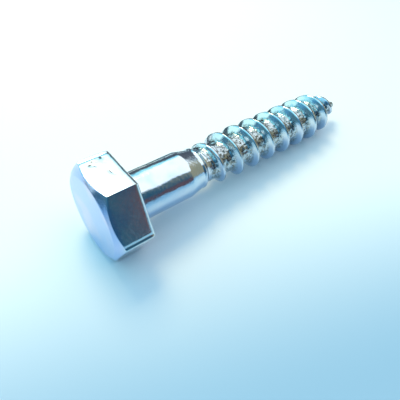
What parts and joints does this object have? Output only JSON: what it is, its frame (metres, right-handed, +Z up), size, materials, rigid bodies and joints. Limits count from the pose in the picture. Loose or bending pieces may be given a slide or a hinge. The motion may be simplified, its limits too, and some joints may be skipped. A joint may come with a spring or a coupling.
{
  "type": "lag screw",
  "caption": "Hex head lag screw with a plain shank, a coarse wood thread and a gimlet point, for fastening timber.",
  "frame": {"origin": "where the shank's axis meets the bearing face under the head", "axes": "+X from the head towards the tip, +Z up with the screw lying as it comes to rest: the head on a flat, the thread on a crest near the tip, and the axis dipping 4.2 degrees towards the tip"},
  "size_m": [0.066, 0.0196, 0.0175],
  "materials": {
    "zinc_plated_steel": "bright zinc plate, slightly rough"
  },
  "bodies": {
    "root": {"lag_screw": "zinc_plated_steel"}
  },
  "joints": []
}
